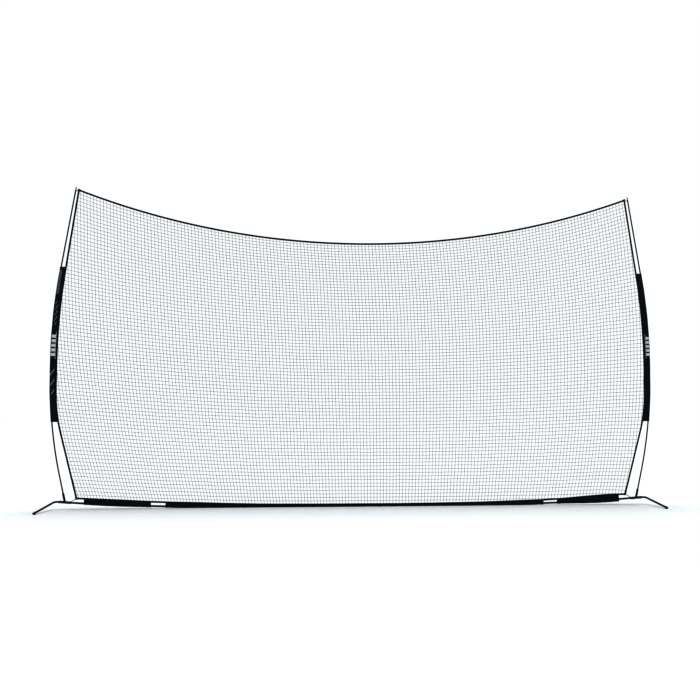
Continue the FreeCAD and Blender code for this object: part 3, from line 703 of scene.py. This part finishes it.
# Each slot's finish and colour. Cord and cloth also have a pitch, and the elastic cord lighter flecks
SLOTS = {
    "tube_enamel": (enamel_finish, (0.008, 0.0095, 0.011)),
    "button_steel": (steel_finish, (0.55, 0.55, 0.56)),
    "tip_rubber": (rubber_finish, (0.014, 0.014, 0.015)),
    "pole_fibreglass": (rod_finish, (0.0065, 0.008, 0.0095)),
    "ferrule_steel": (steel_finish, (0.5, 0.5, 0.51)),
    "pole_cord": (cord_finish, (0.03, 0.03, 0.03), 0.0012),
    "cap_plastic": (plastic_finish, (0.50, 0.52, 0.54)),
    "net_twine": (cord_finish, (0.010, 0.015, 0.020), 0.0014),
    "binding_tape": (webbing_finish, (0.009, 0.0115, 0.0135)),
    "eyelet_steel": (steel_finish, (0.45, 0.45, 0.46)),
    "elastic_cord": (cord_finish, (0.018, 0.018, 0.020), 0.0016, 3.0),
    "sleeve_cloth": (cloth_finish, CLOTH_COLOR, CLOTH_PITCH),
}
SLOT_FINISH = {slot: make(slot, *values) for slot, (make, *values) in SLOTS.items()}
SIDE_CLOTH = {side: cloth_finish("side_cloth_" + side, CLOTH_COLOR, CLOTH_PITCH, side) for side in SIDES}
SLOT_OF = {entry["node"]: entry["material_slot"] for entry in frame["record"]["subparts"]}
for name, node in frame["nodes"].items():
    node.data.materials.clear()
    node.data.materials.append(SLOT_FINISH[SLOT_OF[name]])


# Net
def ripple(s, t, seed):
    """Small smooth shifts of the crossings: a few waves of seeded length and direction."""
    chance = np.random.default_rng(seed)
    height = t * (NET_HIGH - NET_LOW)
    shortest, longest = RIPPLE_LENGTHS
    total = np.zeros(np.shape(s))
    for _ in range(RIPPLE_WAVES):
        length = shortest + (longest - shortest) * chance.random()
        turn, phase = chance.random(2) * 2 * math.pi
        total += np.sin(2 * math.pi / length * (s * math.cos(turn) + height * math.sin(turn)) + phase)
    return total * RIPPLE / math.sqrt(RIPPLE_WAVES)


def row_height(x, t):
    """Height of a row at x: the rows follow the top edge above and the bottom edge below."""
    level = NET_LOW + (NET_HIGH - NET_LOW) * (t - ROW_EASE * t * (1 - t))
    sag = (NET_HIGH - top_z(x)) * ((1 - SAG_SHARE) * t + SAG_SHARE * t ** SAG_POWER)
    droop = (NET_LOW - bottom_z(x)) * (1 - t) ** DROOP_POWER
    slip = SLIP * (np.clip(x, 0, None) / EDGE_KNEE_X) ** SLIP_POWERS[0] * (1 - t) ** SLIP_POWERS[1]
    return level - sag - droop - slip


def column_x(s, z):
    """Place of a column at a height, from its place at mid height."""
    shift = 0.0
    for power, terms in enumerate(LEANS):
        for order, term in enumerate(terms, start=1):
            shift = shift + (s / LEAN_REACH) ** power * term / order * (z ** order - MID_HEIGHT ** order)
    return s + shift


def crossing(s, t):
    """A crossing of the mesh: s is its column's place at mid height, and t its row's share of the height."""
    x = s
    for _ in range(CROSSING_ROUNDS):
        z = row_height(x, t)
        x = column_x(s, z)
    held = ease(t / RIPPLE_FADE) * ease((1 - t) / RIPPLE_FADE)
    return x + ripple(s, t, RIPPLE_SEEDS[0]) * held, z + ripple(s, t, RIPPLE_SEEDS[1]) * held


def cut_point(xs, zs, room, index):
    """Where a twine meets a binding, just before the crossing with this index."""
    share = room[index - 1] / (room[index - 1] - room[index])
    return (xs[index - 1] + (xs[index] - xs[index - 1]) * share,
            zs[index - 1] + (zs[index] - zs[index - 1]) * share)


def inside_runs(xs, zs):
    """The stretches of a twine inside the bindings, each cut where it meets them."""
    room = np.minimum(edge_x(zs, xs) - np.abs(xs), zs - bottom_z(xs) + EDGE_ROOM)
    runs = []
    run = []
    for index in range(len(xs)):
        if room[index] >= 0:
            if not run and index > 0:
                run.append(cut_point(xs, zs, room, index))
            run.append((xs[index], zs[index]))
        elif run:
            run.append(cut_point(xs, zs, room, index))
            runs.append(np.array(run))
            run = []
    if len(run) > 1:
        runs.append(np.array(run))
    return runs


def knotted(run):
    """A column's stations and radii: thin between the crossings and thick at each."""
    places = np.concatenate([[0], np.cumsum(np.linalg.norm(np.diff(run, axis=0), axis=1))])
    shifts = np.array((-KNOT_HALF, 0.0, KNOT_HALF))
    stations = np.concatenate([places[:1], (places[1:-1, None] + shifts).ravel(), places[-1:]])
    radii = np.concatenate([[TWINE_R], np.tile((TWINE_R, KNOT_R, TWINE_R), len(places) - 2), [TWINE_R]])
    rising = np.diff(stations, prepend=-1.0) > LEAST_STEP
    stations = stations[rising]
    return np.interp(stations, places, run[:, 0]), np.interp(stations, places, run[:, 1]), radii[rising]


def net_panel(name, places, heights):
    """The twines of some columns, and the rows between them."""
    twines = Tubes(TWINE_SIDES)
    for place in places[:-1]:
        xs, zs = crossing(np.full(len(heights), place), heights)
        for run in inside_runs(xs, zs):
            x, z, radii = knotted(run)
            twines.add(on_net(x, z), radii)
    for height in heights[1:-1]:
        xs, zs = crossing(places, np.full(len(places), height))
        for run in inside_runs(xs, zs):
            twines.add(on_net(*run.T), TWINE_R)
    finish_piece(twines.build(name), "net_twine", "net")


row_heights = np.linspace(0, 1, ROWS + 1)
column_numbers = np.arange(-COLUMN_REACH, COLUMN_REACH + 1.0)
column_places = sum(term * column_numbers ** power for power, term in enumerate(COLUMN_CURVE, start=1))
panel_ends = np.linspace(0, len(column_places) - 1, len(PANEL_NAMES) + 1).astype(int)
for name, first, last in zip(PANEL_NAMES, panel_ends, panel_ends[1:]):
    net_panel(name, column_places[first:last + 1], row_heights)


# Bindings
def squared(value, power):
    """A sine or cosine pushed out towards 1 or -1."""
    return math.copysign(abs(value) ** power, value)


def tape(name, xs, zs, node):
    """Folded tape along an edge, a little uneven in width and lie."""
    path = resample(on_net(xs, zs), TAPE_STEP)
    side = unit(np.cross(unit(np.gradient(path, axis=0)), DEPTH))
    run = np.arange(len(path)) * TAPE_STEP
    plus, full, none = CORNER_PATCH
    from_end = np.minimum(run, run[-1] - run)
    patch = plus * ease((none - from_end) / (none - full))
    width = TAPE_WIDTH / 2 * (1 + waves(TAPE_WIDTH_WAVES, run) + patch)
    lift = waves(TAPE_LIE_WAVES, run)
    rings = []
    pairs = []
    for angle in ring_angles(TAPE_SIDES):
        out = squared(math.cos(angle), TAPE_SQUARING[0]) * width
        deep = squared(math.sin(angle), TAPE_SQUARING[1]) * TAPE_DEPTH / 2
        rings.append(path + side * out[:, None] + DEPTH * (deep + lift)[:, None])
        pairs.append(np.stack([run, out], axis=1))
    tubes = Tubes(TAPE_SIDES)
    tubes.add_rings(np.stack(rings, axis=1), np.stack(pairs, axis=1))
    finish_piece(tubes.build(name), "binding_tape", node)


for end, (edge, height) in enumerate((("bottom", bottom_z), ("top", top_z))):
    left, right = (CORNERS[side][end][0] + TAPE_OVERRUN for side in SIDES)
    across = np.linspace(-left, right, TAPE_STATIONS)
    tape("binding_" + edge + "_tape", across, height(across), "binding_" + edge)
for side, sign in SIDES.items():
    xs, zs = lengthened(EDGE_PATHS[side], TAPE_OVERRUN).T
    tape("binding_tape_" + side, xs * sign, zs, "binding_" + side)


# Sleeves
def hem_stations(start, end, step):
    """Even stations, with a close pair where the doubled hem at each end stops."""
    hem_edges = [place + shift for place in (start + HEM, end - HEM) for shift in (-HEM_EDGE, HEM_EDGE)]
    return np.unique(np.concatenate([np.linspace(start, end, int((end - start) / step) + 1), hem_edges]))


def hem_share(from_end):
    """1 in the doubled cloth at an end, 0 past it."""
    return ease(0.5 + (HEM - from_end) / (2 * HEM_EDGE))


def creases(place, share):
    """Slanted drag lines in held cloth, from about -1 to 1: broad folds and a few sharper ones."""
    sharp = CREASE_SHARP * (1 - 2 * np.abs(waves(CREASE_LINES, place, share)))
    return (CREASE_MEAN + waves(CREASE_SWING, place)) * (waves(CREASE_FOLDS, place, share) + sharp)


def looseness(shares, length):
    """How far held cloth can stand out: none under the binding or at its far end, most between."""
    return np.sin(math.pi * np.clip((shares * length - TUCK) / (length - TUCK), 0, 1))


def coordinate_pairs(first, second, shape):
    """Two coordinates for each point of a grid, one pair after another."""
    return np.stack([np.broadcast_to(first, shape), np.broadcast_to(second, shape)], axis=-1).reshape(-1, 2)


def sleeve_skin(name, sections, places, from_seam):
    """Cloth through a row of open outlines, with its thickness and its texture coordinates."""
    sections = np.array(sections)
    shape = sections.shape[:2]
    steps = np.linalg.norm(np.diff(sections, axis=1), axis=2)
    around = np.concatenate([np.zeros((shape[0], 1)), np.cumsum(steps, axis=1)], axis=1)
    from_end = np.minimum(places - places[0], places[-1] - places)
    maps = {"cloth": coordinate_pairs(places[:, None], around, shape),
            "seams": coordinate_pairs(from_end[:, None], from_seam, shape)}
    faces = grid_faces(np.arange(shape[0] * shape[1]).reshape(shape))
    piece = new_object(name, sections.reshape(-1, 3), faces, maps=maps)
    solid = piece.modifiers.new("cloth", "SOLIDIFY")
    solid.thickness = CLOTH_THICKNESS
    solid.offset = 0.0
    graph = bpy.context.evaluated_depsgraph_get()
    mesh = bpy.data.meshes.new_from_object(piece.evaluated_get(graph))
    piece.modifiers.clear()
    piece.data = mesh
    mesh.set_sharp_from_angle(angle=SHARP)
    return piece


def side_sleeve(side, sign):
    """Cloth from under the binding's front, round the pole, and back under the binding."""
    places = hem_stations(*SLEEVE_Z, SLEEVE_STEP)
    shares = np.linspace(0, 1, WEB_POINTS)
    angles = np.linspace(CHANNEL_OPEN, -CHANNEL_OPEN, CHANNEL_POINTS)
    sections = []
    for z in places:
        pole = pole_x(z)
        inner = edge_x(z, sign) + TAPE_WIDTH / 2 - TUCK
        seam = pole - CHANNEL_R - SEAM_GAP
        hem = HEM_PLUS * hem_share(min(z - SLEEVE_Z[0], SLEEVE_Z[1] - z))
        x = inner + (seam - inner) * shares
        belly = looseness(shares, seam - inner)
        lie = WRINKLE * creases(z * sign, shares) * belly
        half = WEB_HALF + hem * ease(shares / HEM_EASE) + WEB_SLACK * belly
        radius = CHANNEL_R * (1 + CHANNEL_SLACK * (1 + np.sin(CHANNEL_TWIST * z + angles))) + hem
        front = np.stack([x, lie - half], axis=1)
        back = np.stack([x, lie + half], axis=1)[::-1]
        around = np.stack([pole + radius * np.cos(angles), -radius * np.sin(angles)], axis=1)
        out, deep = np.concatenate([front, around, back]).T
        sections.append(np.stack([sign * out, NET_Y + deep, np.full(len(out), z)], axis=1))
    web = (1 - shares) * SEAM_ROOM
    from_seam = np.concatenate([web, np.full(CHANNEL_POINTS, -SEAM_ROOM), web[::-1]])
    piece = sleeve_skin("sleeve_skin_" + side, sections, places, from_seam)
    finish_piece(piece, "sleeve_cloth", "side_sleeve_" + side, SIDE_CLOTH[side])


for side, sign in SIDES.items():
    side_sleeve(side, sign)


def foot_share(x):
    """How far the middle sleeve is spread on the floor: it lies flat there, and is drawn up at the ends."""
    left_out, left_in, right_in, right_out = FOOT_RAMPS
    return ease((x - left_out) / (left_in - left_out)) * ease((right_out - x) / (right_out - right_in))


def button_share(x, angles):
    """1 over a snap button in the front of the tube, 0 away from it."""
    far, ramp = BUTTON_REACH
    aside, rise = BUTTON_FRONT
    nearest = min(abs(x - place) for place in BUTTON_PLACES)
    return ease((far - nearest) / ramp) * ease((np.sin(angles) - aside) / rise)


def cloth_radius(x, angles):
    """The cloth's distance from the tube's axis. Angles start at the top and grow over the front."""
    taut = TUBE_R + BASE_SLACK
    turned = np.degrees(np.minimum(np.abs(angles), np.abs(2 * math.pi - angles)))
    spread = np.interp(turned, *FOOT_SHAPE)
    hanging = np.clip(-np.cos(angles), 0, 1) ** DROP_POWER
    drop = END_DROP * ease((x - DROP_STARTS) / (DROP_FULL - DROP_STARTS))
    folds = BASE_FOLD * waves(BASE_FOLDS, x, angles)
    radius = taut + (spread - taut) * foot_share(x) + drop * hanging + BASE_FOLD + folds
    return radius + np.clip(BUTTON_COVER - radius, 0, None) * button_share(x, angles)


def base_sleeve(node, start, end):
    """Cloth from under the binding's front, down round the base tube, and up behind the binding."""
    places = hem_stations(start, end, BASE_STEP)
    shares = np.linspace(0, 1, RISE_POINTS)[:-1, None]
    sections = []
    for x in places:
        tube = tube_z(x)
        seam = np.array((bottom_y(x) - NET_Y, bottom_z(x) - TAPE_WIDTH / 2 + TUCK))
        away = seam - (0.0, tube)
        toward = math.atan2(-away[0], away[1])
        lift = math.acos(min((TUBE_R + BASE_SLACK) / np.linalg.norm(away), 1.0))
        angles = np.linspace(toward + lift, 2 * math.pi + toward - lift, AROUND_POINTS)
        radius = cloth_radius(x, angles) + HEM_PLUS * hem_share(min(x - start, end - x))
        around = np.stack([-radius * np.sin(angles), tube + radius * np.cos(angles)], axis=1)
        rise = max(np.linalg.norm(away) - TUBE_R, LEAST_RISE)
        lie = BASE_WRINKLE * creases(x, shares) * looseness(shares, rise)
        bow = (-1.0, 0.0) * lie
        front = (seam - (WEB_HALF, 0.0)) * (1 - shares) + around[0] * shares + bow
        back = ((seam + (WEB_HALF, 0.0)) * (1 - shares) + around[-1] * shares + bow)[::-1]
        deep, height = np.concatenate([front, around, back]).T
        outline = (np.full(len(deep), x), NET_Y + deep, np.maximum(height, FLOOR_GAP))
        sections.append(np.stack(outline, axis=1))
    far = np.full(AROUND_POINTS + 2 * (RISE_POINTS - 1), SEAM_ROOM)
    piece = sleeve_skin(node + "_skin", sections, places, far)
    finish_piece(piece, "sleeve_cloth", node)


for node, start, end, width in BASE_SLEEVES:
    base_sleeve(node, start, end)


# Camera, at the photo's place and angle
CAMERA_DISTANCE = 9.0
CAMERA_X = -0.3014
CAMERA_Z = 1.009
CAMERA_YAW = -0.0785
CAMERA_PITCH = 0.0536
CAMERA_REACH = 200.0
FRAME_PIXELS = 700
FOCAL_PIXELS = 883.37
CENTRE_PIXEL = (397.72, 358.99)
SENSOR = 36.0                # millimetres
camera_data = bpy.data.cameras.new("camera")
camera_data.sensor_width = SENSOR
camera_data.lens = FOCAL_PIXELS * SENSOR / FRAME_PIXELS
camera_data.shift_x = (FRAME_PIXELS / 2 - CENTRE_PIXEL[0]) / FRAME_PIXELS
camera_data.shift_y = (CENTRE_PIXEL[1] - FRAME_PIXELS / 2) / FRAME_PIXELS
camera_data.clip_end = CAMERA_REACH
camera = bpy.data.objects.new("camera", camera_data)
camera.location = (CAMERA_X, NET_Y - CAMERA_DISTANCE, CAMERA_Z)
camera.rotation_euler = (math.pi / 2 + CAMERA_PITCH, 0.0, CAMERA_YAW)
bpy.context.scene.collection.objects.link(camera)
bpy.context.scene.camera = camera

# Floor and light: a bright sweep, lit softly from above and a little behind
FLOOR_REACH = 60.0
FLOOR_COLOR = (0.93, 0.93, 0.93)
BACKDROP_COLOR = (1.0, 1.025, 1.037)
SKY_COLOR = (0.40, 0.455, 0.475)
SUN_STRENGTH = 2.30
SUN_COLOR = (1.0, 0.96, 0.95)
SUN_TILT = -10.0
SUN_SPREAD = 31.0
DISPLAY_GAMMA = 0.6


def floor_piece():
    corners = [(x * FLOOR_REACH, y * FLOOR_REACH, 0) for x, y in ((-1, -1), (1, -1), (1, 1), (-1, 1))]
    floor = new_object("floor", corners, [(0, 1, 2, 3)], smooth=False)
    finish = Finish("floor_white", FLOOR_COLOR, roughness=0.9)
    finish.rough(finish.noise(scale=3.0, detail=4.0), low=0.85, high=0.95)
    floor.data.materials.append(finish.material)


def studio_light():
    """A white sweep to the camera, dimmer as a light, so that the black pieces keep their depth."""
    world = bpy.data.worlds.new("studio")
    bpy.context.scene.world = world
    world.use_nodes = True
    tree = world.node_tree
    path = tree.nodes.new("ShaderNodeLightPath")
    mix = tree.nodes.new("ShaderNodeMix")
    mix.data_type = "RGBA"
    mix.inputs[MIX_UNDER].default_value = (*SKY_COLOR, 1.0)
    mix.inputs[MIX_OVER].default_value = (*BACKDROP_COLOR, 1.0)
    tree.links.new(path.outputs["Is Camera Ray"], mix.inputs["Factor"])
    tree.links.new(mix.outputs[MIX_RESULT], tree.nodes["Background"].inputs["Color"])
    sun_data = bpy.data.lights.new("sun", "SUN")
    sun_data.energy = SUN_STRENGTH
    sun_data.color = SUN_COLOR
    sun_data.angle = math.radians(SUN_SPREAD)
    sun = bpy.data.objects.new("sun", sun_data)
    sun.rotation_euler = (math.radians(SUN_TILT), 0.0, 0.0)
    bpy.context.scene.collection.objects.link(sun)


floor_piece()
studio_light()
bpy.context.scene.view_settings.view_transform = "Standard"
bpy.context.scene.view_settings.gamma = DISPLAY_GAMMA
